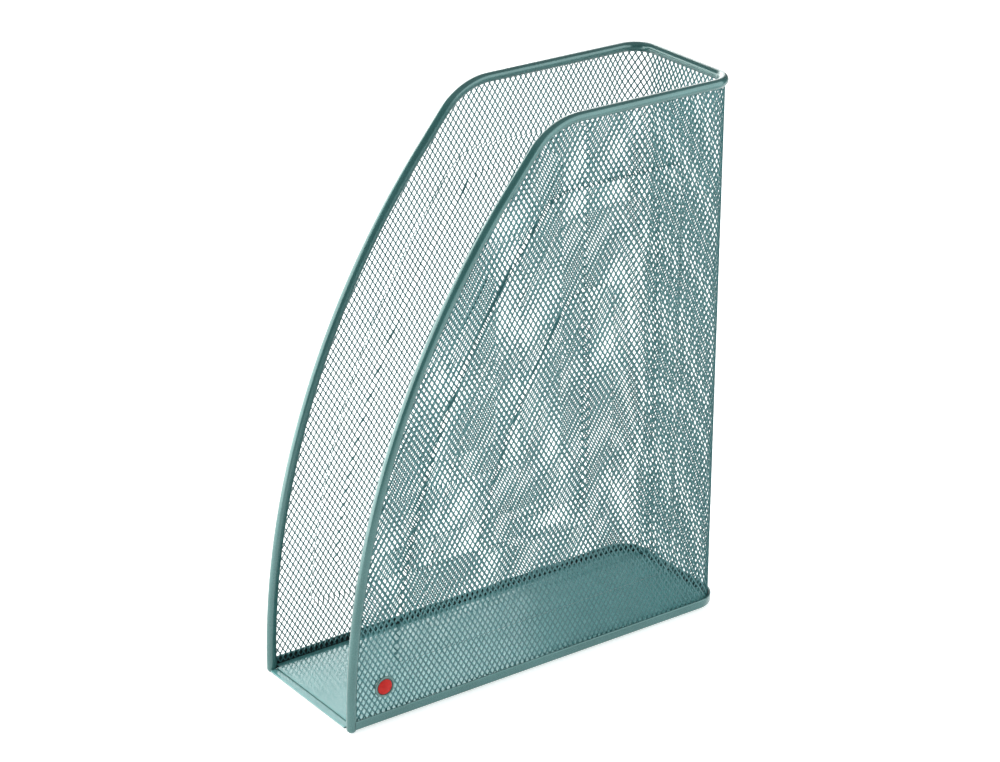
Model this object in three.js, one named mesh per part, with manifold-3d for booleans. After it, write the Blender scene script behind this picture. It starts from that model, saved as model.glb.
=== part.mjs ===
// Open-fronted magazine file holder in painted steel.
// One U-shaped sheet of expanded metal makes the far side, the back and the near side.
// A round rim bar, bent in one length, grips the sheet's free edge from one front foot
// over the top to the other. The sheet's lower edge stands inside the flange of a shallow pan.
// Millimetres. +X is the near side (the badge side), -Y the open front, +Z up.
// The origin is the middle of the footprint, on the surface that the holder stands on.

import * as THREE from 'three';
import { mergeVertices } from 'three/addons/utils/BufferGeometryUtils.js';
import Module from 'manifold-3d';

const wasm = await Module();
wasm.setup();

// ---- driving dimensions ----
const WIDTH = 85;
const DEPTH = 252;
const HEIGHT = 315;
const GAP = 0.3; // clearance between pieces that touch

const BAR_RADIUS = 2.75;
const FRONT_SWEEP_RADIUS = 433; // big arc of each front edge, upright at the foot
const FRONT_LEAN = THREE.MathUtils.degToRad(39.7); // lean from upright at the arc's top
const TOP_BEND_RADIUS = 38; // from the leaning edge to the level top
const PLAN_CORNER_RADIUS = 15.5; // back corners, on the outermost face

const SHEET_INSET = 1.5; // outermost face to the sheet's outer face
const SHEET_THICKNESS = 1.0;
const SLOT_FLOOR = 1.0; // bar's centreline to the floor of its slot
const SHEET_EDGE = SLOT_FLOOR + GAP; // bar's centreline to the sheet's edge

const PAN_BOTTOM = 2.0;
const FLOOR_TOP = 3.6;
const FLANGE_TOP = 7.3;
const FLANGE_THICKNESS = SHEET_INSET - GAP;
const LIP_LENGTH = 4; // front lip, lower than the floor behind it
const LIP_TOP_BACK = 3.0;
const LIP_TOP_FRONT = 2.8;

const PAD_RADIUS = 6;
const PAD_CHAMFER = 0.4;
const PAD_X = 28;
const PAD_Y = 110;

const BADGE_Y = -103.3;
const BADGE_Z = 22;
const BEZEL_RADIUS = 6;
const BEZEL_HOLE_RADIUS = 4.9;
const BEZEL_HEIGHT = 0.9;
const INSERT_EDGE_HEIGHT = 0.7;
const INSERT_CROWN_HEIGHT = SHEET_INSET - GAP; // level with the outermost face

// ---- facet counts ----
const SECTION_STEPS = 24;
const SWEEP_STEPS = 16;
const BEND_STEPS = 8;
const CORNER_STEPS = 8;
const DOME_STEPS = 6;
const LATHE_STEPS = 40;

// ---- derived places ----
const SIDE_X = WIDTH / 2;
const BACK_Y = DEPTH / 2;
const BAR_X = SIDE_X - BAR_RADIUS;
const FOOT_Y = -BACK_Y + BAR_RADIUS;
const BAR_TOP_Z = HEIGHT - BAR_RADIUS;
const CORNER_X = SIDE_X - PLAN_CORNER_RADIUS;
const CORNER_Y = BACK_Y - PLAN_CORNER_RADIUS;
const HALF_PI = Math.PI / 2;

// ---- materials ----
const paint = { color: 0x7f9f9b, roughness: 0.36, metalness: 0.65 };
const barPaint = new THREE.MeshStandardMaterial({ ...paint, name: 'bar_paint' });
const sheetPaint = new THREE.MeshStandardMaterial({ ...paint, name: 'sheet_paint', color: 0x78989a });
const panPaint = new THREE.MeshStandardMaterial({ ...paint, name: 'pan_paint', roughness: 0.3 });
const bezelPaint = new THREE.MeshStandardMaterial({ ...paint, name: 'bezel_paint', color: 0x879d98 });
const redEnamel = new THREE.MeshStandardMaterial({
  name: 'red_enamel', color: 0xc9301f, roughness: 0.18, metalness: 0.0,
});
const padRubber = new THREE.MeshStandardMaterial({
  name: 'pad_rubber', color: 0x2a2c2c, roughness: 0.85, metalness: 0.0,
});

// ---- solids ----
function toSolid(geometry) {
  const bare = geometry.clone();
  bare.deleteAttribute('normal');
  bare.deleteAttribute('uv');
  const welded = mergeVertices(bare, 1e-4);
  return new wasm.Manifold(new wasm.Mesh({
    numProp: 3,
    vertProperties: new Float32Array(welded.attributes.position.array),
    triVerts: new Uint32Array(welded.index.array),
  }));
}

function toGeometry(solid) {
  const mesh = solid.getMesh();
  const geometry = new THREE.BufferGeometry();
  geometry.setAttribute('position', new THREE.BufferAttribute(mesh.vertProperties, mesh.numProp));
  geometry.setIndex(new THREE.BufferAttribute(mesh.triVerts, 1));
  geometry.computeVertexNormals();
  return geometry;
}

// A plan outline raised from z0 to z1.
function raise(shape, z0, z1) {
  const geometry = new THREE.ExtrudeGeometry(shape, {
    depth: z1 - z0, bevelEnabled: false, curveSegments: CORNER_STEPS,
  });
  return geometry.translate(0, 0, z0);
}

// A side outline, drawn in Y and Z, carried across from -halfWidth to halfWidth in X.
const ACROSS = new THREE.Matrix4().makeBasis(
  new THREE.Vector3(0, 1, 0), new THREE.Vector3(0, 0, 1), new THREE.Vector3(1, 0, 0),
);
function carryAcross(shape, halfWidth) {
  const geometry = new THREE.ExtrudeGeometry(shape, { depth: 2 * halfWidth, bevelEnabled: false });
  return geometry.translate(0, 0, -halfWidth).applyMatrix4(ACROSS);
}

// ---- the rim bar's path ----
// The near edge in its own plane, from the foot to the level top: y, z and lean from upright.
function frontEdgeStations() {
  const stations = [];
  for (let i = 0; i <= SWEEP_STEPS; i += 1) {
    const lean = (FRONT_LEAN * i) / SWEEP_STEPS;
    stations.push({
      y: FOOT_Y + FRONT_SWEEP_RADIUS * (1 - Math.cos(lean)),
      z: BAR_RADIUS + FRONT_SWEEP_RADIUS * Math.sin(lean),
      lean,
    });
  }
  const arcEnd = stations[stations.length - 1];
  const bendCentreZ = BAR_TOP_Z - TOP_BEND_RADIUS;
  const bendStartZ = bendCentreZ + TOP_BEND_RADIUS * Math.sin(FRONT_LEAN);
  const bendStartY = arcEnd.y + (bendStartZ - arcEnd.z) * Math.tan(FRONT_LEAN);
  const bendCentreY = bendStartY + TOP_BEND_RADIUS * Math.cos(FRONT_LEAN);
  for (let i = 0; i <= BEND_STEPS; i += 1) {
    const lean = FRONT_LEAN + ((HALF_PI - FRONT_LEAN) * i) / BEND_STEPS;
    stations.push({
      y: bendCentreY - TOP_BEND_RADIUS * Math.cos(lean),
      z: bendCentreZ + TOP_BEND_RADIUS * Math.sin(lean),
      lean,
    });
  }
  return stations;
}

// The whole bar, near foot to far foot. At each station: centre, direction of travel,
// and the direction from the bar into the sheet that it grips.
function rimStations() {
  const near = frontEdgeStations().map(({ y, z, lean }) => ({
    centre: new THREE.Vector3(BAR_X, y, z),
    along: new THREE.Vector3(0, Math.sin(lean), Math.cos(lean)),
    toSheet: new THREE.Vector3(0, Math.cos(lean), -Math.sin(lean)),
  }));
  const bendRadius = PLAN_CORNER_RADIUS - BAR_RADIUS;
  for (let i = 0; i <= CORNER_STEPS; i += 1) {
    const turn = (HALF_PI * i) / CORNER_STEPS;
    near.push({
      centre: new THREE.Vector3(
        CORNER_X + bendRadius * Math.cos(turn), CORNER_Y + bendRadius * Math.sin(turn), BAR_TOP_Z,
      ),
      along: new THREE.Vector3(-Math.sin(turn), Math.cos(turn), 0),
      toSheet: new THREE.Vector3(0, 0, -1),
    });
  }
  const far = near.map(({ centre, along, toSheet }) => ({
    centre: new THREE.Vector3(-centre.x, centre.y, centre.z),
    along: new THREE.Vector3(along.x, -along.y, -along.z),
    toSheet: toSheet.clone(),
  }));
  return [...near, ...far.reverse()];
}

// A path with its stations packed where it bends, and with its section always turned to the sheet.
class RimPath extends THREE.Curve {
  constructor(stations) {
    super();
    this.stations = stations;
  }

  getSpacedPoints() {
    return this.stations.map(({ centre }) => centre.clone());
  }

  computeFrenetFrames() {
    const tangents = this.stations.map(({ along }) => along.clone());
    const normals = this.stations.map(({ toSheet }) => toSheet.clone());
    const binormals = tangents.map((along, i) => new THREE.Vector3().crossVectors(along, normals[i]));
    return { tangents, normals, binormals };
  }
}

// Round section with a slot for the sheet. x points to the sheet, y to the holder's inside.
function barSection() {
  const slotMiddle = SHEET_INSET + SHEET_THICKNESS / 2 - BAR_RADIUS;
  const slotHalf = SHEET_THICKNESS / 2 + GAP;
  const low = slotMiddle - slotHalf;
  const high = slotMiddle + slotHalf;
  const start = Math.asin(high / BAR_RADIUS);
  const end = 2 * Math.PI + Math.asin(low / BAR_RADIUS);
  const points = [];
  for (let i = 0; i <= SECTION_STEPS; i += 1) {
    const angle = start + ((end - start) * i) / SECTION_STEPS;
    points.push(new THREE.Vector2(BAR_RADIUS * Math.cos(angle), BAR_RADIUS * Math.sin(angle)));
  }
  points.push(new THREE.Vector2(SLOT_FLOOR, low), new THREE.Vector2(SLOT_FLOOR, high));
  return new THREE.Shape(points);
}

function footDome(x) {
  const profile = [];
  for (let i = 0; i <= DOME_STEPS; i += 1) {
    const angle = (HALF_PI * i) / DOME_STEPS;
    profile.push(new THREE.Vector2(BAR_RADIUS * Math.sin(angle), -BAR_RADIUS * Math.cos(angle)));
  }
  profile[0].x = 0;
  profile.push(new THREE.Vector2(0, 0));
  return new THREE.LatheGeometry(profile, SECTION_STEPS)
    .rotateX(HALF_PI)
    .translate(x, FOOT_Y, BAR_RADIUS);
}

function rimFrame() {
  const stations = rimStations();
  const bar = new THREE.ExtrudeGeometry(barSection(), {
    steps: stations.length - 1, extrudePath: new RimPath(stations), bevelEnabled: false,
  });
  return toGeometry(
    toSolid(bar).add(toSolid(footDome(BAR_X))).add(toSolid(footDome(-BAR_X))),
  );
}

// ---- the expanded-metal sheet, as a plain sheet of the same overall thickness ----
function sheetPlan(inset, thickness, frontY) {
  const outerX = SIDE_X - inset;
  const innerX = outerX - thickness;
  const outerRadius = PLAN_CORNER_RADIUS - inset;
  const innerRadius = outerRadius - thickness;
  const shape = new THREE.Shape();
  shape.moveTo(outerX, frontY);
  shape.lineTo(outerX, CORNER_Y);
  shape.absarc(CORNER_X, CORNER_Y, outerRadius, 0, HALF_PI, false);
  shape.absarc(-CORNER_X, CORNER_Y, outerRadius, HALF_PI, Math.PI, false);
  shape.lineTo(-outerX, frontY);
  shape.lineTo(-innerX, frontY);
  shape.absarc(-CORNER_X, CORNER_Y, innerRadius, Math.PI, HALF_PI, true);
  shape.absarc(CORNER_X, CORNER_Y, innerRadius, HALF_PI, 0, true);
  shape.lineTo(innerX, frontY);
  shape.closePath();
  return shape;
}

function sheetSideOutline(bottomZ) {
  const edge = frontEdgeStations().map(({ y, z, lean }) => new THREE.Vector2(
    y + SHEET_EDGE * Math.cos(lean), z - SHEET_EDGE * Math.sin(lean),
  ));
  edge[0].y = bottomZ;
  edge.push(new THREE.Vector2(BACK_Y, BAR_TOP_Z - SHEET_EDGE), new THREE.Vector2(BACK_Y, bottomZ));
  return new THREE.Shape(edge);
}

function wallMesh() {
  const plan = toSolid(raise(sheetPlan(SHEET_INSET, SHEET_THICKNESS, -BACK_Y), 0, HEIGHT));
  const side = toSolid(carryAcross(sheetSideOutline(FLOOR_TOP + GAP), WIDTH));
  return toGeometry(plan.intersect(side));
}

// ---- the base pan ----
// Plan outline with rounded back corners; each front corner is cut off at the bar's centre.
function panPlan() {
  const shape = new THREE.Shape();
  shape.moveTo(BAR_X, -BACK_Y);
  shape.lineTo(SIDE_X, FOOT_Y);
  shape.absarc(CORNER_X, CORNER_Y, PLAN_CORNER_RADIUS, 0, HALF_PI, false);
  shape.absarc(-CORNER_X, CORNER_Y, PLAN_CORNER_RADIUS, HALF_PI, Math.PI, false);
  shape.lineTo(-SIDE_X, FOOT_Y);
  shape.lineTo(-BAR_X, -BACK_Y);
  shape.closePath();
  return shape;
}

// The space inside the flange, open to the front.
function flangeHollow(frontY) {
  const x = SIDE_X - FLANGE_THICKNESS;
  const radius = PLAN_CORNER_RADIUS - FLANGE_THICKNESS;
  const shape = new THREE.Shape();
  shape.moveTo(x, frontY);
  shape.lineTo(x, CORNER_Y);
  shape.absarc(CORNER_X, CORNER_Y, radius, 0, HALF_PI, false);
  shape.absarc(-CORNER_X, CORNER_Y, radius, HALF_PI, Math.PI, false);
  shape.lineTo(-x, frontY);
  shape.closePath();
  return shape;
}

function basePan() {
  const block = toSolid(raise(panPlan(), PAN_BOTTOM, FLANGE_TOP));
  const inside = toSolid(raise(flangeHollow(-BACK_Y - LIP_LENGTH), FLOOR_TOP, HEIGHT));
  const lipEndY = -BACK_Y + LIP_LENGTH;
  const overLip = toSolid(carryAcross(new THREE.Shape([
    new THREE.Vector2(-BACK_Y - GAP, LIP_TOP_FRONT),
    new THREE.Vector2(lipEndY, LIP_TOP_BACK),
    new THREE.Vector2(lipEndY, HEIGHT),
    new THREE.Vector2(-BACK_Y - GAP, HEIGHT),
  ]), BAR_X));
  let pan = block.subtract(inside).subtract(overLip);
  for (const x of [BAR_X, -BAR_X]) {
    const relief = new THREE.CylinderGeometry(
      BAR_RADIUS + GAP, BAR_RADIUS + GAP, HEIGHT, SECTION_STEPS,
    ).rotateX(HALF_PI).translate(x, FOOT_Y, 0);
    pan = pan.subtract(toSolid(relief));
  }
  return toGeometry(pan);
}

// ---- rear pads ----
function pad() {
  const top = PAN_BOTTOM - GAP;
  const profile = [
    [0, 0], [PAD_RADIUS - PAD_CHAMFER, 0], [PAD_RADIUS, PAD_CHAMFER], [PAD_RADIUS, top], [0, top],
  ].map(([r, z]) => new THREE.Vector2(r, z));
  return new THREE.LatheGeometry(profile, LATHE_STEPS).rotateX(HALF_PI);
}

// ---- badge, lying against the near side's outer face ----
function bezel() {
  const round = 0.25;
  const profile = [
    [BEZEL_HOLE_RADIUS, 0], [BEZEL_RADIUS, 0], [BEZEL_RADIUS, BEZEL_HEIGHT - round],
    [BEZEL_RADIUS - round, BEZEL_HEIGHT], [BEZEL_HOLE_RADIUS + round, BEZEL_HEIGHT],
    [BEZEL_HOLE_RADIUS, BEZEL_HEIGHT - round], [BEZEL_HOLE_RADIUS, 0],
  ].map(([r, h]) => new THREE.Vector2(r, h));
  return new THREE.LatheGeometry(profile, LATHE_STEPS).rotateZ(-HALF_PI);
}

function insert() {
  const radius = BEZEL_HOLE_RADIUS - GAP;
  const rise = INSERT_CROWN_HEIGHT - INSERT_EDGE_HEIGHT;
  const profile = [new THREE.Vector2(0, 0), new THREE.Vector2(radius, 0)];
  for (let i = 0; i <= DOME_STEPS; i += 1) {
    const r = radius * (1 - i / DOME_STEPS);
    profile.push(new THREE.Vector2(r, INSERT_EDGE_HEIGHT + rise * (1 - (r / radius) ** 2)));
  }
  return new THREE.LatheGeometry(profile, LATHE_STEPS).rotateZ(-HALF_PI);
}

// ---- assembly ----
const group = new THREE.Group();

function place(name, geometry, material, x = 0, y = 0, z = 0) {
  const mesh = new THREE.Mesh(geometry, material);
  mesh.name = name;
  mesh.position.set(x, y, z);
  group.add(mesh);
}

place('rim_frame', rimFrame(), barPaint);
place('wall_mesh', wallMesh(), sheetPaint);
place('base_pan', basePan(), panPaint);
place('pad_rear_near', pad(), padRubber, PAD_X, PAD_Y, 0);
place('pad_rear_far', pad(), padRubber, -PAD_X, PAD_Y, 0);
const badgeX = SIDE_X - SHEET_INSET + GAP;
place('badge_bezel', bezel(), bezelPaint, badgeX, BADGE_Y, BADGE_Z);
place('badge_insert', insert(), redEnamel, badgeX, BADGE_Y, BADGE_Z);

export default group;
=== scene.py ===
"""Open-fronted magazine file holder in painted expanded metal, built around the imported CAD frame.

Millimetres inside this script, metres in Blender. +X is the near side (the badge side), -Y the open
front and +Z up, as in the CAD. The sheet's strands, the slotted rim bar, the pan with its rolled
edges, the badge and the rear pads are all real geometry.
"""

import math

import bpy
import numpy as np
from mathutils import Matrix, Vector


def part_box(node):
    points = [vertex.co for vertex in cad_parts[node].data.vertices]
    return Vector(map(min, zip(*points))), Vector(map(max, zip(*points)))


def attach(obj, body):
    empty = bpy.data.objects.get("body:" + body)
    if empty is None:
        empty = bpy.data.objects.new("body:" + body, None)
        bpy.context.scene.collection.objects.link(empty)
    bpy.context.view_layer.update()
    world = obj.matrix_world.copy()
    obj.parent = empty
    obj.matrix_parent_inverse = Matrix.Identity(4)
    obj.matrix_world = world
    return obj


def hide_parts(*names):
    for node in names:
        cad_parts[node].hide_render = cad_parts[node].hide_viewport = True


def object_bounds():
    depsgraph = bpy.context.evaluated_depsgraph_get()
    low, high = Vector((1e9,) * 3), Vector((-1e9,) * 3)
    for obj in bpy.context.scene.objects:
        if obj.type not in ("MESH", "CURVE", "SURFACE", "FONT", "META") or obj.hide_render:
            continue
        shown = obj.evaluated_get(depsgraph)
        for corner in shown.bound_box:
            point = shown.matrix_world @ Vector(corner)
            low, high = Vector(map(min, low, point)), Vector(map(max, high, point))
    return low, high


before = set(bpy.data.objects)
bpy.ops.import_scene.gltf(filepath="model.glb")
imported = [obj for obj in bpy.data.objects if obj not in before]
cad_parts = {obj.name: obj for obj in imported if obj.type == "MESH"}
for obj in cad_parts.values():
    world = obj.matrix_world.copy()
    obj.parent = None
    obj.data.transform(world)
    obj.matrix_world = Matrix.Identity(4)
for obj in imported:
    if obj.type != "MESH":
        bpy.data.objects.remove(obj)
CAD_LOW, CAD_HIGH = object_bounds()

MM = 0.001

# ---- sizes taken from the frame ----
SIDE_X = CAD_HIGH.x / MM
BACK_Y = CAD_HIGH.y / MM
HEIGHT = CAD_HIGH.z / MM
PAN_LOW, PAN_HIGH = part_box("base_pan")
PAN_BOTTOM = PAN_LOW.z / MM
FLANGE_TOP = PAN_HIGH.z / MM
SHEET_LOW, SHEET_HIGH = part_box("wall_mesh")
SHEET_BOTTOM = SHEET_LOW.z / MM
SHEET_INSET = SIDE_X - SHEET_HIGH.x / MM
BEZEL_LOW, BEZEL_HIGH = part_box("badge_bezel")
_, PAD_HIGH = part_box("pad_rear_near")

# ---- sizes repeated from the CAD ----
BAR_RADIUS = 2.75
FRONT_SWEEP_RADIUS = 433.0
FRONT_LEAN = math.radians(39.7)
TOP_BEND_RADIUS = 38.0
PLAN_CORNER_RADIUS = 15.5
SHEET_THICKNESS = 1.0
SLOT_FLOOR = 1.0
FLOOR_TOP = 3.6
FLANGE_THICKNESS = 1.2
LIP_LENGTH = 4.0
LIP_TOP_BACK = 3.0
LIP_TOP_FRONT = 2.8
GAP = 0.3  # clearance between pieces that touch

BAR_X = SIDE_X - BAR_RADIUS
FOOT_Y = -BACK_Y + BAR_RADIUS
BAR_TOP_Z = HEIGHT - BAR_RADIUS
CORNER_X = SIDE_X - PLAN_CORNER_RADIUS
CORNER_Y = BACK_Y - PLAN_CORNER_RADIUS
LIP_BACK_Y = -BACK_Y + LIP_LENGTH
SHEET_MIDDLE = SHEET_INSET + SHEET_THICKNESS / 2  # outermost face to the sheet's middle

# ---- expanded metal ----
SHORT_WAY = 3.38  # across a diamond
LONG_WAY = 5.29  # up a diamond
BOND = 0.30  # length of the joint between two diamonds
BOND_SPREAD = 0.25  # how far apart two strands stay at a joint, as a share of their width
STRAND_WIDTH_NEAR = 0.95
STRAND_WIDTH_FAR = 0.71
STRAND_GAUGE = 0.42
STRAND_CORNERS = 4  # of a strand's section
STRAND_TURN = math.radians(-13)  # strands stand turned in the sheet, as the slitting leaves them
ROW_SLOPE_NEAR = -0.055  # rise of a row of diamonds along the unrolled sheet
ROW_SLOPE_FAR = 0.030
COLUMN_LEAN_NEAR = -0.035  # run of a column of diamonds along the sheet as it rises
STRAND_CUT = 1.75  # from the bar's middle to the strands' ends in its slot
SPARE_COLUMNS = 5  # columns and rows made beyond the sheet, since the pattern leans
SPARE_ROWS_BELOW = 8
SPARE_ROWS_ABOVE = 12


# ---- mesh helpers ----
def mesh_object(name, verts, faces):
    mesh = bpy.data.meshes.new(name)
    mesh.from_pydata((np.asarray(verts, float) * MM).tolist(), [], faces)
    mesh.validate()
    mesh.update()
    piece = bpy.data.objects.new(name, mesh)
    bpy.context.scene.collection.objects.link(piece)
    return piece


EDGE_ANGLE = math.radians(35)  # sharper bends than this stay crisp


def tidy_normals(piece):
    """Outward faces, and smooth shading that breaks at real edges."""
    bpy.context.view_layer.objects.active = piece
    for other in bpy.context.selected_objects:
        other.select_set(False)
    piece.select_set(True)
    bpy.ops.object.mode_set(mode="EDIT")
    bpy.ops.mesh.select_all(action="SELECT")
    bpy.ops.mesh.normals_make_consistent(inside=False)
    bpy.ops.object.mode_set(mode="OBJECT")
    bpy.ops.object.shade_smooth_by_angle(angle=EDGE_ANGLE)
    piece.select_set(False)


# ---- the rim bar's path ----
def front_edge(sweep_steps, bend_steps):
    """Stations up the near edge in its own plane: y, z and lean from upright."""
    stations = []
    for i in range(sweep_steps + 1):
        lean = FRONT_LEAN * i / sweep_steps
        stations.append((
            FOOT_Y + FRONT_SWEEP_RADIUS * (1 - math.cos(lean)),
            BAR_RADIUS + FRONT_SWEEP_RADIUS * math.sin(lean),
            lean,
        ))
    arc_y, arc_z, _ = stations[-1]
    centre_z = BAR_TOP_Z - TOP_BEND_RADIUS
    start_z = centre_z + TOP_BEND_RADIUS * math.sin(FRONT_LEAN)
    start_y = arc_y + (start_z - arc_z) * math.tan(FRONT_LEAN)
    centre_y = start_y + TOP_BEND_RADIUS * math.cos(FRONT_LEAN)
    for i in range(bend_steps + 1):
        lean = FRONT_LEAN + (math.pi / 2 - FRONT_LEAN) * i / bend_steps
        stations.append((
            centre_y - TOP_BEND_RADIUS * math.cos(lean),
            centre_z + TOP_BEND_RADIUS * math.sin(lean),
            lean,
        ))
    return stations


EDGE = front_edge(sweep_steps=160, bend_steps=48)


def edge_line(offset):
    """y and z of the front and top edge, moved from the bar's middle into the sheet by offset."""
    line = [(y + offset * math.cos(a), z - offset * math.sin(a)) for y, z, a in EDGE]
    return np.array([p[0] for p in line]), np.array([p[1] for p in line])


# ---- expanded-metal sheet ----
WALL_RADIUS = PLAN_CORNER_RADIUS - SHEET_MIDDLE
STRAIGHT = CORNER_Y + BACK_Y
ARC = WALL_RADIUS * math.pi / 2
BACK_RUN = 2 * CORNER_X
UNROLLED = 2 * STRAIGHT + 2 * ARC + BACK_RUN


def wall_point(u, w):
    """Plan position at length u along the sheet's middle, w outwards of it. Arrays in and out."""
    u = np.asarray(u, float)
    w = np.asarray(w, float)
    x, y = np.empty_like(u), np.empty_like(u)
    flip = u > UNROLLED / 2
    s = np.where(flip, UNROLLED - u, u)
    side = s <= STRAIGHT
    corner = (s > STRAIGHT) & (s <= STRAIGHT + ARC)
    back = s > STRAIGHT + ARC
    x[side] = CORNER_X + WALL_RADIUS + w[side]
    y[side] = -BACK_Y + s[side]
    turn = (s[corner] - STRAIGHT) / WALL_RADIUS
    x[corner] = CORNER_X + (WALL_RADIUS + w[corner]) * np.cos(turn)
    y[corner] = CORNER_Y + (WALL_RADIUS + w[corner]) * np.sin(turn)
    x[back] = CORNER_X - (s[back] - STRAIGHT - ARC)
    y[back] = CORNER_Y + WALL_RADIUS + w[back]
    x[flip] *= -1
    return x, y


# ---- pressed rings ----
# Each side wall carries four nested steps of one outline: distance in from the front bar, top, distance
# of the rear side from the middle, bottom, and how far the step moves the sheet outwards.
STEPS = [
    (25.5, 274.4, 89.0, 33.0, 1.85),
    (40.5, 260.5, 73.0, 49.7, -1.20),
    (70.0, 217.0, 45.0, 80.0, 1.20),
    (86.0, 201.5, 28.0, 95.5, -1.20),
]
STEP_RUN = 1.3  # width of a step's slope
STEP_CORNER = 7.0  # radius of a step's corners


def pressed(y, z):
    """How far the pressed steps stand the sheet out at a place on a side wall. Arrays in and out."""
    centre_y = FOOT_Y + FRONT_SWEEP_RADIUS
    front = FRONT_SWEEP_RADIUS - np.hypot(y - centre_y, z - BAR_RADIUS)
    total = np.zeros_like(y)
    for in_front, top, rear, bottom, rise in STEPS:
        spare = [front - in_front, top - z, rear - y, z - bottom]
        outside = [np.maximum(STEP_CORNER - s, 0) ** 2 for s in spare]
        depth = STEP_CORNER - np.sqrt(sum(outside))
        t = np.clip(depth / STEP_RUN + 0.5, 0, 1)
        total += rise * t * t * (3 - 2 * t)
    return total


CUT_Y, CUT_Z = edge_line(STRAND_CUT)
NO_SHEET = -1.0  # a top edge below the sheet's foot, so that nothing is left in front of the bar


def sheet_top(u):
    """Height at which the strands end inside the bar's slot, for each length u. Arrays in and out."""
    _, y = wall_point(u, np.zeros_like(u))
    return np.interp(y, CUT_Y, CUT_Z, left=NO_SHEET, right=CUT_Z[-1])


def column_shift(u, v):
    """How far the columns of diamonds have leaned along the sheet."""
    lean = np.interp(u, (STRAIGHT, UNROLLED - STRAIGHT), (COLUMN_LEAN_NEAR, 0))
    return lean * (v - HEIGHT / 2)


def row_shift(u):
    """How far the rows of diamonds have climbed at length u."""
    t = np.clip((u - STRAIGHT) / (UNROLLED - 2 * STRAIGHT), 0, 1)
    near = ROW_SLOPE_NEAR * np.minimum(u, STRAIGHT)
    slope_gain = ROW_SLOPE_FAR - ROW_SLOPE_NEAR
    middle = (UNROLLED - 2 * STRAIGHT) * (ROW_SLOPE_NEAR * t + slope_gain * t * t / 2)
    far = ROW_SLOPE_FAR * np.maximum(u - UNROLLED + STRAIGHT, 0)
    return near + middle + far


SHORTEST_WAVE, LONGEST_WAVE = 55, 130
WAVES_EACH_WAY = 6
WAVE_DEPTH = 0.14
RANDOM = np.random.default_rng(11)
WAVES = [
    (
        2 * math.pi / RANDOM.uniform(SHORTEST_WAVE, LONGEST_WAVE),
        RANDOM.uniform(0, math.pi),
        RANDOM.uniform(0, 2 * math.pi),
    )
    for _ in range(2 * WAVES_EACH_WAY)
]


def wander(u, v, waves):
    """A slow uneven pull of the diamonds, as stretching and pressing leave it."""
    total = np.zeros_like(u)
    for rate, heading, start in waves:
        total += WAVE_DEPTH * np.sin(rate * (u * math.cos(heading) + v * math.sin(heading)) + start)
    return total


def strand_width(column):
    """Strands get a little narrower from the near side round to the far one."""
    share = min(max(column * SHORT_WAY / 2 / UNROLLED, 0), 1)
    return STRAND_WIDTH_NEAR + (STRAND_WIDTH_FAR - STRAND_WIDTH_NEAR) * share


def strand_rings(column):
    """Middle points of one zigzag strand, between bond column and column + 1: u and v."""
    spread = strand_width(column) / 2 * BOND_SPREAD
    left, right = column * SHORT_WAY / 2, (column + 1) * SHORT_WAY / 2
    first = (column % 2) / 2
    rings = []
    for row in range(-SPARE_ROWS_BELOW, int(HEIGHT / LONG_WAY) + SPARE_ROWS_ABOVE):
        for place, at_left in ((0.0, True), (0.5, False)):
            u = left + spread if at_left else right - spread
            v = (row + first + place) * LONG_WAY
            rings.append((u, v - BOND / 2))
            rings.append((u, v + BOND / 2))
    rings = np.array(rings)
    u, v = rings[:, 0].copy(), rings[:, 1] + row_shift(rings[:, 0])
    rings[:, 0] = u + column_shift(u, v) + wander(u, v, WAVES[:WAVES_EACH_WAY])
    rings[:, 1] = v + wander(u, v, WAVES[WAVES_EACH_WAY:])
    return rings


def cut_runs(rings):
    """The stretches of a strand that lie on the sheet, each ended exactly at the sheet's outline."""
    u, v = rings.T
    spare = np.minimum(v - SHEET_BOTTOM, sheet_top(u) - v)
    runs, run = [], []
    for i in range(len(rings)):
        if i and (spare[i] > 0) != (spare[i - 1] > 0):
            t = spare[i - 1] / (spare[i - 1] - spare[i])
            run.append(rings[i - 1] + (rings[i] - rings[i - 1]) * t)
            if spare[i] <= 0:
                runs.append(run)
                run = []
        if spare[i] > 0:
            run.append(rings[i])
    return [r for r in runs if len(r) > 1]


BENT_RISE = 0.15  # a link of a strand that rises more than this is bent by a step
BENT_PARTS = 4


def follow_steps(run):
    """A run with extra points wherever the sheet's pressed steps bend it."""
    run = np.array(run)
    _, y = wall_point(run[:, 0], np.zeros(len(run)))
    on_side = np.minimum(run[:, 0], UNROLLED - run[:, 0]) < STRAIGHT
    rise = np.where(on_side, pressed(y, run[:, 1]), 0)
    points = [run[:1]]
    for i in range(1, len(run)):
        parts = BENT_PARTS if abs(rise[i] - rise[i - 1]) > BENT_RISE else 1
        for k in range(1, parts + 1):
            points.append(run[i - 1:i] + (run[i:i + 1] - run[i - 1:i]) * k / parts)
    return np.concatenate(points)


def strand_section(column):
    """Corners of a strand's section: along the sheet and out of it."""
    across = np.array([math.cos(STRAND_TURN), math.sin(STRAND_TURN)]) * strand_width(column) / 2
    through = np.array([-math.sin(STRAND_TURN), math.cos(STRAND_TURN)]) * STRAND_GAUGE / 2
    return np.array([-across - through, across - through, across + through, -across + through])


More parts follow.
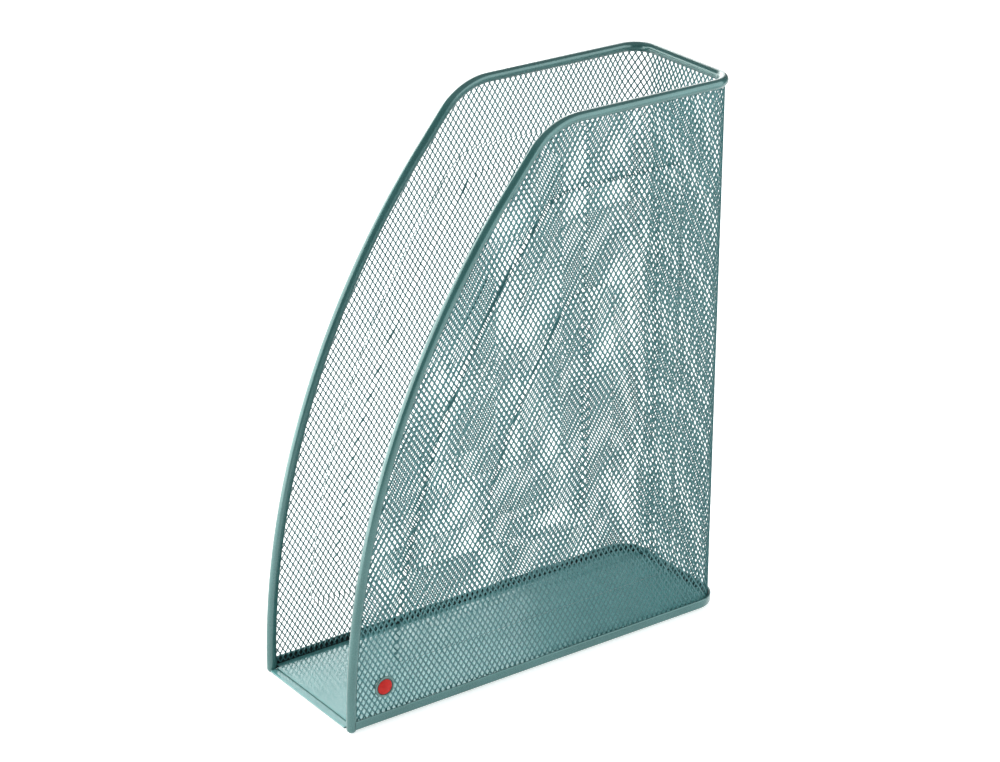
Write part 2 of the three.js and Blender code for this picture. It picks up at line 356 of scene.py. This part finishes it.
def wall_piece(name, first, last):
    """Strands first to last - 1 of the sheet as one mesh."""
    verts, faces, count = [], [], 0
    for column in range(first, last):
        section = strand_section(column)
        for run in cut_runs(strand_rings(column)):
            run = follow_steps(run)
            u = run[:, None, 0] + section[None, :, 0]
            w = np.broadcast_to(section[None, :, 1], u.shape)
            x, y = wall_point(u.ravel(), w.ravel())
            z = np.repeat(run[:, 1], STRAND_CORNERS)
            on_side = np.minimum(u, UNROLLED - u).ravel() < STRAIGHT
            x += np.sign(x) * np.where(on_side, pressed(y, z), 0)
            verts.append(np.column_stack([x, y, z]))
            for ring in range(len(run) - 1):
                a = count + ring * STRAND_CORNERS
                b = a + STRAND_CORNERS
                for k in range(STRAND_CORNERS):
                    n = (k + 1) % STRAND_CORNERS
                    faces.append((a + k, a + n, b + n, b + k))
            end = count + (len(run) - 1) * STRAND_CORNERS
            faces.append((count + 3, count + 2, count + 1, count))
            faces.append((end, end + 1, end + 2, end + 3))
            count += len(run) * STRAND_CORNERS
    return mesh_object(name, np.concatenate(verts), faces)


# ---- rim bar ----
RIM_CORNER_STEPS = 24
SECTION_STEPS = 48
SLOT_SOFTNESS = 0.12  # round-over of the slot's lips
FOOT_ROWS = 10


def rim_stations():
    """Near foot to far foot: middle, direction of travel, and direction into the sheet."""
    near = [
        ((BAR_X, y, z), (0, math.sin(a), math.cos(a)), (0, math.cos(a), -math.sin(a)))
        for y, z, a in front_edge(sweep_steps=72, bend_steps=20)
    ]
    bend = PLAN_CORNER_RADIUS - BAR_RADIUS
    for i in range(RIM_CORNER_STEPS + 1):
        turn = math.pi / 2 * i / RIM_CORNER_STEPS
        near.append((
            (CORNER_X + bend * math.cos(turn), CORNER_Y + bend * math.sin(turn), BAR_TOP_Z),
            (-math.sin(turn), math.cos(turn), 0),
            (0, 0, -1),
        ))
    far = [((-p[0], p[1], p[2]), (t[0], -t[1], -t[2]), s) for p, t, s in near]
    return near + far[::-1]


def bar_section():
    """Round section with a slot for the sheet. First number towards the sheet, second inwards."""
    middle = SHEET_MIDDLE - BAR_RADIUS
    half = SHEET_THICKNESS / 2 + GAP
    low, high = middle - half, middle + half
    start = math.asin((high + SLOT_SOFTNESS) / BAR_RADIUS)
    end = 2 * math.pi + math.asin((low - SLOT_SOFTNESS) / BAR_RADIUS)
    angles = [start + (end - start) * i / SECTION_STEPS for i in range(SECTION_STEPS + 1)]
    points = [(BAR_RADIUS * math.cos(a), BAR_RADIUS * math.sin(a)) for a in angles]
    lip_low = math.sqrt(BAR_RADIUS ** 2 - low ** 2) - SLOT_SOFTNESS
    lip_high = math.sqrt(BAR_RADIUS ** 2 - high ** 2) - SLOT_SOFTNESS
    points += [(lip_low, low), (SLOT_FLOOR, low), (SLOT_FLOOR, high), (lip_high, high)]
    return points


def add_foot(verts, faces, base, around, centre):
    """Rounds off the bar below one of its ends, whose ring of points starts at base."""
    ring = list(range(base, base + around))
    for row in range(1, FOOT_ROWS + 1):
        a = math.pi / 2 * row / FOOT_ROWS
        drop = Vector((0, 0, BAR_RADIUS * math.sin(a)))
        share = 0 if row == FOOT_ROWS else math.cos(a)
        fresh = list(range(len(verts), len(verts) + around))
        for k in range(around):
            verts.append(tuple(centre + (Vector(verts[base + k]) - centre) * share - drop))
        for k in range(around):
            n = (k + 1) % around
            faces.append((ring[k], ring[n], fresh[n], fresh[k]))
        ring = fresh


def rim_bar():
    section = bar_section()
    around = len(section)
    verts, faces = [], []
    stations = rim_stations()
    for middle, along, to_sheet in stations:
        p, t, s = Vector(middle), Vector(along), Vector(to_sheet)
        inward = t.cross(s)
        verts += [tuple(p + s * a + inward * b) for a, b in section]
    last = len(stations) - 1
    for i in range(last):
        for k in range(around):
            n = (k + 1) % around
            faces.append((i * around + k, i * around + n, (i + 1) * around + n, (i + 1) * around + k))
    for station in (0, last):
        add_foot(verts, faces, station * around, around, Vector(stations[station][0]))
    return mesh_object("rim_bar", verts, faces)


# ---- base pan ----
PAN_FRONT_Y = FOOT_Y + BAR_RADIUS + 0.25  # the flanged part starts just behind the bar's feet
PAN_CUT = BAR_X - BAR_RADIUS - GAP  # half width of the part between the feet
PAN_SIDE_STEPS = 40
PAN_CORNER_STEPS = 16
LOWER_ROLL = 0.9  # radius of the flange's lower edge
LOWER_ROLL_STEPS = 6
UPPER_ROLL_STEPS = 8
FLANGE_REACH = 0.9  # from the middle of the bar's foot to the flange's front end
GUTTER_FILLET = 0.5
GUTTER_FILLET_STEPS = 4
SHADE_STRIP_WIDTH = 2.6  # from the flange's outside to the inner edge of the painted shade strip behind the sheet
FLOOR_STRIP = 6.0  # from the flange's outside to the flat middle of the floor
LIP_ROLL = 0.4  # radius of the lip's front edge
LIP_ROLL_STEPS = 6
# Step and groove behind the lip: distance behind the lip's back edge, and height.
LIP_GROOVE = [
    (0.55, FLOOR_TOP),
    (0.25, FLOOR_TOP - 0.12),
    (0.12, LIP_TOP_BACK - 0.2),
    (-0.18, LIP_TOP_BACK - 0.2),
    (-0.22, LIP_TOP_BACK - 0.08),
    (-0.45, LIP_TOP_BACK),
]
# material slots of the pan: bar paint, painted shade, and the floor paint lightened as painted light
FLANGE_FINISH, SHADE_FINISH, LIT_FLOOR_FINISH = range(3)


def quarter(steps):
    """Angles from 0 to a right angle, in equal steps."""
    return [math.pi / 2 * i / steps for i in range(steps + 1)]


def pan_stations():
    """Plan stations round the pan from the near front to the far front: point and outward normal."""
    run = CORNER_Y - PAN_FRONT_Y
    near = [((SIDE_X, PAN_FRONT_Y + run * i / PAN_SIDE_STEPS), (1.0, 0.0)) for i in range(PAN_SIDE_STEPS)]
    for turn in quarter(PAN_CORNER_STEPS):
        out_x, out_y = math.cos(turn), math.sin(turn)
        near.append((
            (CORNER_X + PLAN_CORNER_RADIUS * out_x, CORNER_Y + PLAN_CORNER_RADIUS * out_y),
            (out_x, out_y),
        ))
    far = [((-p[0], p[1]), (-n[0], n[1])) for p, n in near]
    return near + far[::-1]


def pan_profile():
    """Flange section: distance in from the outermost face, and height."""
    half = FLANGE_THICKNESS / 2
    points = [(FLOOR_STRIP, PAN_BOTTOM)]
    points += [
        (LOWER_ROLL - LOWER_ROLL * math.sin(a), PAN_BOTTOM + LOWER_ROLL - LOWER_ROLL * math.cos(a))
        for a in quarter(LOWER_ROLL_STEPS)
    ]
    for i in range(UPPER_ROLL_STEPS + 1):
        a = math.pi * i / UPPER_ROLL_STEPS
        points.append((half - half * math.cos(a), FLANGE_TOP - half + half * math.sin(a)))
    points += [
        (
            FLANGE_THICKNESS + GUTTER_FILLET - GUTTER_FILLET * math.cos(a),
            FLOOR_TOP + GUTTER_FILLET - GUTTER_FILLET * math.sin(a),
        )
        for a in quarter(GUTTER_FILLET_STEPS)
    ]
    points += [(SHADE_STRIP_WIDTH, FLOOR_TOP), (FLOOR_STRIP, FLOOR_TOP)]
    return points


def pan_finish(centre, normal):
    """Which of the pan's materials a face has: bar paint, painted shade, or the floor paint lightened as
    painted light.
    """
    margin = 0.1
    outward = max(abs(centre.x) - CORNER_X, 0), max(centre.y - CORNER_Y, 0)
    in_from_edge = PLAN_CORNER_RADIUS - math.hypot(*outward)
    # painted shade: the flange's inner face and a floor strip behind the sheet's foot get near-black
    # paint for the shade there
    if FLANGE_THICKNESS - margin < in_from_edge < SHADE_STRIP_WIDTH and centre.z > FLOOR_TOP - margin:
        return SHADE_FINISH
    # painted light: up-facing floor faces take a lighter copy of the paint, as if more light fell on them
    # from above
    faces_up = normal.z > 0.5
    return LIT_FLOOR_FINISH if faces_up and centre.z < FLOOR_TOP + GUTTER_FILLET else FLANGE_FINISH


def finish_pan(piece):
    """Bar paint outside, a glossier floor whose lighter colour is painted light, and painted shade in the
    gutter behind the sheet's foot.
    """
    for material in (bar_paint, shade_paint, lit_floor_paint):
        piece.data.materials.append(material)
    for face in piece.data.polygons:
        face.material_index = pan_finish(face.center / MM, face.normal)


def pan_body():
    """Floor and underside with the flange round them, from just behind the bar's feet."""
    stations = pan_stations()
    profile = pan_profile()
    width, count = len(profile), len(stations)
    verts, faces = [], []
    for (x, y), (nx, ny) in stations:
        verts += [(x - nx * d, y - ny * d, z) for d, z in profile]
    # the flange runs on to the bar's feet, outside them
    hair = 0.01
    for first_vert in (0, (count - 1) * width):
        for k, (d, _) in enumerate(profile):
            if d <= FLANGE_THICKNESS + hair:
                x, _, z = verts[first_vert + k]
                verts[first_vert + k] = (x, FOOT_Y + FLANGE_REACH, z)
    for i in range(count - 1):
        a, b = i * width, (i + 1) * width
        faces += [(a + k, a + k + 1, b + k + 1, b + k) for k in range(width - 1)]
    for end in (0, count - 1):
        faces.append([end * width + k for k in range(width)])
    # floor and underside, in strips from the near side to the far side
    for k in (width - 1, 0):
        for i in range(count // 2 - 1):
            a, b = i * width + k, (i + 1) * width + k
            c, d = (count - 2 - i) * width + k, (count - 1 - i) * width + k
            faces.append((a, b, c, d))
    return mesh_object("base_pan_body", verts, faces)


def pan_lip():
    """Floor's front strip with its step, and the lip with a rolled front edge."""
    line = [(PAN_FRONT_Y, FLOOR_TOP)]
    line += [(LIP_BACK_Y + behind, z) for behind, z in LIP_GROOVE]
    line.append((-BACK_Y + LIP_ROLL, LIP_TOP_FRONT))
    middle, half = (LIP_TOP_FRONT + PAN_BOTTOM) / 2, (LIP_TOP_FRONT - PAN_BOTTOM) / 2
    for i in range(1, LIP_ROLL_STEPS + 1):
        a = math.pi * i / LIP_ROLL_STEPS
        line.append((-BACK_Y + LIP_ROLL - LIP_ROLL * math.sin(a), middle + half * math.cos(a)))
    line.append((PAN_FRONT_Y, PAN_BOTTOM))
    n = len(line)
    verts = [(x, y, z) for x in (PAN_CUT, -PAN_CUT) for y, z in line]
    faces = [(k, (k + 1) % n, n + (k + 1) % n, n + k) for k in range(n)]
    faces += [list(range(n)), list(range(n, 2 * n))]
    return mesh_object("base_pan_lip", verts, faces)


# ---- badge and pads ----
LATHE_STEPS = 96
ON_AXIS = 1e-9  # a smaller radius is a single point

BEZEL_HOLE = 4.7
BEZEL_CROWN = 5.2, 5.6  # the bezel is flat on top between these radii
BEZEL_RADIUS = 6.0
BEZEL_HEIGHT = 0.9
BEZEL_ROUND = 0.4  # round-over beside the flat
BEZEL_ROUND_STEPS = 8
BEZEL_SHOULDER = 0.3  # height of the bezel's inner edge, beside the insert

DOME_RADIUS = 4.65
DOME_WALL = 0.5
DOME_EDGE = 0.55
DOME_RISE = 0.65
DOME_RINGS = 14
DOME_SHADE_FROM = 4.2  # painted shade on the insert's rim from here outwards, for the shadow in the groove beside the bezel

# Radius and height of points across the pad's sole, with a shallow groove.
PAD_SOLE = [(0.0, 0.0), (4.6, 0.0), (4.8, 0.12), (5.2, 0.12), (5.4, 0.0)]
PAD_RADIUS = 6.0
PAD_ROUND = 0.4
PAD_ROUND_STEPS = 6
PAD_TOP_BEVEL = 0.2


def lathe(name, profile, place, axis="X"):
    """A closed ring or disc from (radius, height) points, turned about an axis through place."""
    verts, faces, rings = [], [], []
    for r, h in profile:
        if r < ON_AXIS:
            rings.append([len(verts)])
            verts.append((0.0, 0.0, h))
        else:
            rings.append(list(range(len(verts), len(verts) + LATHE_STEPS)))
            angles = [2 * math.pi * i / LATHE_STEPS for i in range(LATHE_STEPS)]
            verts += [(r * math.cos(a), r * math.sin(a), h) for a in angles]
    pairs = list(zip(rings, rings[1:]))
    if len(rings[0]) > 1 and len(rings[-1]) > 1:
        pairs.append((rings[-1], rings[0]))
    for low, high in pairs:
        for i in range(LATHE_STEPS):
            j = (i + 1) % LATHE_STEPS
            if len(low) == 1:
                faces.append((low[0], high[i], high[j]))
            elif len(high) == 1:
                faces.append((low[i], low[j], high[0]))
            else:
                faces.append((low[i], low[j], high[j], high[i]))
    turned = [(z, x, y) if axis == "X" else (x, y, z) for x, y, z in verts]
    placed = [(x + place[0], y + place[1], z + place[2]) for x, y, z in turned]
    return mesh_object(name, placed, faces)


def bezel_profile():
    inner, outer = BEZEL_CROWN
    half = BEZEL_HEIGHT / 2
    turns = quarter(BEZEL_ROUND_STEPS)
    points = [(BEZEL_HOLE, 0.0), (BEZEL_RADIUS, 0.0), (BEZEL_RADIUS, half)]
    points += [(outer + BEZEL_ROUND * math.cos(a), half + half * math.sin(a)) for a in turns[1:]]
    points += [
        (inner - BEZEL_ROUND * math.sin(a), BEZEL_HEIGHT - BEZEL_ROUND + BEZEL_ROUND * math.cos(a))
        for a in turns
    ]
    points.append((BEZEL_HOLE, BEZEL_SHOULDER))
    return points


def dome_profile():
    points = [(0.0, 0.0), (DOME_RADIUS, 0.0), (DOME_RADIUS, DOME_WALL)]
    for i in range(1, DOME_RINGS + 1):
        r = DOME_RADIUS * (1 - i / DOME_RINGS)
        points.append((r, DOME_EDGE + DOME_RISE * (1 - (r / DOME_RADIUS) ** 2)))
    return points


def pad_profile(height):
    """A pad with a shallow groove in its sole and a rounded lower edge."""
    points = PAD_SOLE + [
        (PAD_RADIUS - PAD_ROUND + PAD_ROUND * math.sin(a), PAD_ROUND - PAD_ROUND * math.cos(a))
        for a in quarter(PAD_ROUND_STEPS)[1:]
    ]
    points += [(PAD_RADIUS, height - PAD_TOP_BEVEL), (PAD_RADIUS - PAD_TOP_BEVEL, height), (0.0, height)]
    return points


# ---- materials ----
CLOUD_SCALE = 38.0
FLECK_SCALE = 5200.0
FLECK_SHARE = 0.35  # share of the flecks in the colour, beside the clouding
PEEL_SCALE = 950.0
RELIEF_DEPTH = 0.0002


def new_material(name):
    material = bpy.data.materials.new(name)
    material.use_nodes = True
    nodes, links = material.node_tree.nodes, material.node_tree.links
    return material, nodes, links, nodes["Principled BSDF"]


def noise(nodes, links, scale, detail):
    coordinates = nodes.new("ShaderNodeTexCoord")
    texture = nodes.new("ShaderNodeTexNoise")
    texture.inputs["Scale"].default_value = scale
    texture.inputs["Detail"].default_value = detail
    links.new(coordinates.outputs["Object"], texture.inputs["Vector"])
    return texture.outputs["Fac"]


def colour_between(nodes, links, shader, source, places, dark, light):
    """Base colour that runs from dark to light as the source runs between two places."""
    node = nodes.new("ShaderNodeValToRGB")
    for element, place, colour in zip(node.color_ramp.elements, places, (dark, light)):
        element.position = place
        element.color = (*colour, 1.0)
    links.new(source, node.inputs["Fac"])
    links.new(node.outputs["Color"], shader.inputs["Base Color"])


def add_relief(nodes, links, shader, source, strength):
    relief = nodes.new("ShaderNodeBump")
    relief.inputs["Strength"].default_value = strength
    relief.inputs["Distance"].default_value = RELIEF_DEPTH
    links.new(source, relief.inputs["Height"])
    links.new(relief.outputs["Normal"], shader.inputs["Normal"])


def satin_paint(name, dark, light, metallic, rough, coat, coat_rough, bump=0.05):
    """Satin metallic paint: soft clouding, fine flecks in colour and gloss, and orange peel."""
    material, nodes, links, shader = new_material(name)
    cloud = noise(nodes, links, CLOUD_SCALE, 3.0)
    fleck = noise(nodes, links, FLECK_SCALE, 1.0)
    clouding = nodes.new("ShaderNodeMath")
    clouding.operation = "MULTIPLY"
    clouding.inputs[1].default_value = 1 - FLECK_SHARE
    links.new(cloud, clouding.inputs[0])
    mix = nodes.new("ShaderNodeMath")
    mix.operation = "MULTIPLY_ADD"
    mix.inputs[1].default_value = FLECK_SHARE
    links.new(fleck, mix.inputs[0])
    links.new(clouding.outputs[0], mix.inputs[2])
    colour_between(nodes, links, shader, mix.outputs[0], (0.36, 0.64), dark, light)
    shader.inputs["Metallic"].default_value = metallic
    shader.inputs["Coat Weight"].default_value = coat
    shader.inputs["Coat Roughness"].default_value = coat_rough
    gloss = nodes.new("ShaderNodeMapRange")
    gloss.inputs["From Min"].default_value = 0.3
    gloss.inputs["From Max"].default_value = 0.7
    gloss.inputs["To Min"].default_value = rough - 0.04
    gloss.inputs["To Max"].default_value = rough + 0.05
    links.new(fleck, gloss.inputs["Value"])
    links.new(gloss.outputs["Result"], shader.inputs["Roughness"])
    add_relief(nodes, links, shader, noise(nodes, links, PEEL_SCALE, 2.0), bump)
    return material


def red_enamel():
    material, nodes, links, shader = new_material("red_enamel")
    cloud = noise(nodes, links, 420.0, 2.0)
    colour_between(nodes, links, shader, cloud, (0.3, 0.7), (0.36, 0.003, 0.001), (0.44, 0.006, 0.002))
    shader.inputs["Roughness"].default_value = 0.10
    shader.inputs["Specular IOR Level"].default_value = 0.22
    return material


def pad_rubber():
    material, nodes, links, shader = new_material("pad_rubber")
    grain = noise(nodes, links, 1400.0, 3.0)
    colour_between(nodes, links, shader, grain, (0.3, 0.7), (0.018, 0.019, 0.019), (0.034, 0.036, 0.036))
    shader.inputs["Roughness"].default_value = 0.8
    add_relief(nodes, links, shader, grain, 0.3)
    return material


bar_paint = satin_paint(
    "bar_paint", (0.030, 0.116, 0.112), (0.042, 0.144, 0.140),
    metallic=0.32, rough=0.27, coat=0.75, coat_rough=0.13,
)
# the strands: the bars' paint with less coat, and a little lighter as painted light for fine strands
# catching light from all round
lit_mesh_paint = satin_paint(
    "lit_mesh_paint", (0.034, 0.138, 0.146), (0.046, 0.166, 0.176),
    metallic=0.22, rough=0.34, coat=0.15, coat_rough=0.20, bump=0.03,
)
# the pan's floor: glossier than the bars, and lighter in colour as painted light for light falling on it
# from above
lit_floor_paint = satin_paint(
    "lit_floor_paint", (0.118, 0.342, 0.344), (0.146, 0.388, 0.391),
    metallic=0.10, rough=0.24, coat=1.0, coat_rough=0.10, bump=0.02,
)
# painted shade: near-black paint for the shaded gutter behind the sheet's foot and for the badge insert's
# rim
shade_paint = satin_paint(
    "shade_paint", (0.004, 0.016, 0.016), (0.007, 0.024, 0.024),
    metallic=0.0, rough=0.60, coat=0.0, coat_rough=0.3, bump=0.02,
)
bezel_paint = satin_paint(
    "bezel_paint", (0.070, 0.150, 0.140), (0.095, 0.185, 0.175),
    metallic=0.4, rough=0.30, coat=0.5, coat_rough=0.2,
)


# ---- build ----
def finish_piece(piece, node, material=None):
    if material:
        piece.data.materials.append(material)
    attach(piece, "root")
    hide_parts(node)


near_end = int(2 * STRAIGHT / SHORT_WAY)
far_start = int(2 * (UNROLLED - STRAIGHT) / SHORT_WAY)
far_end = int(2 * UNROLLED / SHORT_WAY)
near_split = int(near_end * 0.62)
far_split = far_start + int((far_end - far_start) * 0.38)
WALL_PIECES = [
    ("mesh_near_front", -SPARE_COLUMNS, near_split),
    ("mesh_near_rear", near_split, near_end),
    ("mesh_back", near_end, far_start),
    ("mesh_far_rear", far_start, far_split),
    ("mesh_far_front", far_split, far_end),
]
for piece_name, first_column, end_column in WALL_PIECES:
    wall = wall_piece(piece_name, first_column, end_column)
    finish_piece(wall, "wall_mesh", lit_mesh_paint)

bar = rim_bar()
tidy_normals(bar)
finish_piece(bar, "rim_frame", bar_paint)

for sheet_part in (pan_body(), pan_lip()):
    tidy_normals(sheet_part)
    finish_pan(sheet_part)
    finish_piece(sheet_part, "base_pan")

badge_y = (BEZEL_LOW.y + BEZEL_HIGH.y) / 2 / MM
badge_z = (BEZEL_LOW.z + BEZEL_HIGH.z) / 2 / MM
badge_place = (BEZEL_LOW.x / MM, badge_y, badge_z)
bezel = lathe("badge_ring", bezel_profile(), badge_place)
tidy_normals(bezel)
finish_piece(bezel, "badge_bezel", bezel_paint)

dome = lathe("badge_dome", dome_profile(), badge_place)
tidy_normals(dome)
# painted shade: the insert's outer rim takes the near-black shade paint, for the shadow in the groove
# beside the bezel
for finish in (red_enamel(), shade_paint):
    dome.data.materials.append(finish)
for face in dome.data.polygons:
    off_middle = math.hypot(face.center.y - badge_y * MM, face.center.z - badge_z * MM)
    face.material_index = int(off_middle > DOME_SHADE_FROM * MM)
finish_piece(dome, "badge_insert")

rubber = pad_rubber()
for pad_name, piece_name in (("pad_rear_near", "foot_near"), ("pad_rear_far", "foot_far")):
    pad_low, pad_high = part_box(pad_name)
    place = ((pad_low.x + pad_high.x) / 2 / MM, (pad_low.y + pad_high.y) / 2 / MM, 0.0)
    pad = lathe(piece_name, pad_profile(PAD_HIGH.z / MM), place, axis="Z")
    tidy_normals(pad)
    finish_piece(pad, pad_name, rubber)

# ---- stage ----
FLOOR_HALF = 6.0  # metres
FLOOR_GLOW = 0.54  # keeps the floor white round the object
WORLD_LIGHT = 0.15
corners = [(FLOOR_HALF * x, FLOOR_HALF * y, 0) for x, y in ((-1, -1), (1, -1), (1, 1), (-1, 1))]
floor_mesh = bpy.data.meshes.new("stage_floor")
floor_mesh.from_pydata(corners, [], [(0, 1, 2, 3)])
floor = bpy.data.objects.new("stage_floor", floor_mesh)
bpy.context.scene.collection.objects.link(floor)
floor_material, _, _, floor_shader = new_material("stage_white")
floor_shader.inputs["Base Color"].default_value = (0.93, 0.93, 0.93, 1)
floor_shader.inputs["Roughness"].default_value = 0.9
floor_shader.inputs["Specular IOR Level"].default_value = 0.1
floor_shader.inputs["Emission Color"].default_value = (1, 1, 1, 1)
floor_shader.inputs["Emission Strength"].default_value = FLOOR_GLOW
floor_mesh.materials.append(floor_material)

world = bpy.data.worlds.new("studio")
bpy.context.scene.world = world
world.use_nodes = True
background = world.node_tree.nodes["Background"]
background.inputs["Color"].default_value = (1, 1, 1, 1)
background.inputs["Strength"].default_value = WORLD_LIGHT

# Soft panels, in metres: name, place, what it is turned towards, width, height, watts and colour.
PANELS = [
    ("key_near", (-0.42, -0.50, 0.31), (0, 0, 0.22), 1.6, 0.60, 12.6, (1.0, 0.985, 0.96)),
    ("left_back", (-1.27, 0.42, 0.72), (0, 0, 0.1), 0.9, 0.75, 6.6, (1.0, 0.99, 0.98)),
    ("kicker", (-0.33, 0.345, 0.44), (0, 0.12, 0.31), 0.26, 0.20, 0.42, (1.0, 1.0, 1.0)),
    ("back_right", (1.229, 0.86, 0.75), (0, 0, 0.15), 2.0, 1.5, 25.0, (0.95, 1.0, 1.0)),
    ("top", (0.0, 0.3, 2.4), (0, 0, 0), 4.0, 4.0, 15, (0.97, 0.99, 1.0)),
]


def soft_light(name, location, target, width, height, power, colour):
    data = bpy.data.lights.new(name, "AREA")
    data.shape = "RECTANGLE"
    data.size, data.size_y = width, height
    data.energy = power
    data.color = colour
    light = bpy.data.objects.new(name, data)
    bpy.context.scene.collection.objects.link(light)
    light.location = location
    light.visible_camera = False
    light.rotation_mode = "QUATERNION"
    light.rotation_quaternion = (Vector(target) - Vector(location)).to_track_quat("-Z", "Y")


for panel in PANELS:
    soft_light(*panel)

# ---- camera ----
AZIMUTH = math.radians(54.223)
ELEVATION = math.radians(23.885)
ROLL = math.radians(0.174)
TARGET = Vector((0.016898, -0.011385, 0.165242))
DISTANCE = 1.568474
SENSOR_WIDTH = 36.0
FOCAL_LENGTH = 106.783
towards_camera = Vector((
    math.sin(AZIMUTH) * math.cos(ELEVATION),
    -math.cos(AZIMUTH) * math.cos(ELEVATION),
    math.sin(ELEVATION),
))
right = (-towards_camera).cross(Vector((0, 0, 1))).normalized()
up = right.cross(-towards_camera)
turned_right = right * math.cos(ROLL) + up * math.sin(ROLL)
turned_up = up * math.cos(ROLL) - right * math.sin(ROLL)
axes = Matrix((turned_right, turned_up, towards_camera)).transposed().to_4x4()
camera_data = bpy.data.cameras.new("camera")
camera_data.sensor_width = SENSOR_WIDTH
camera_data.lens = FOCAL_LENGTH
camera_data.clip_start, camera_data.clip_end = 0.05, 30.0
camera = bpy.data.objects.new("camera", camera_data)
camera.matrix_world = Matrix.Translation(TARGET + towards_camera * DISTANCE) @ axes
bpy.context.scene.collection.objects.link(camera)
bpy.context.scene.camera = camera

bpy.context.scene.view_settings.view_transform = "Standard"
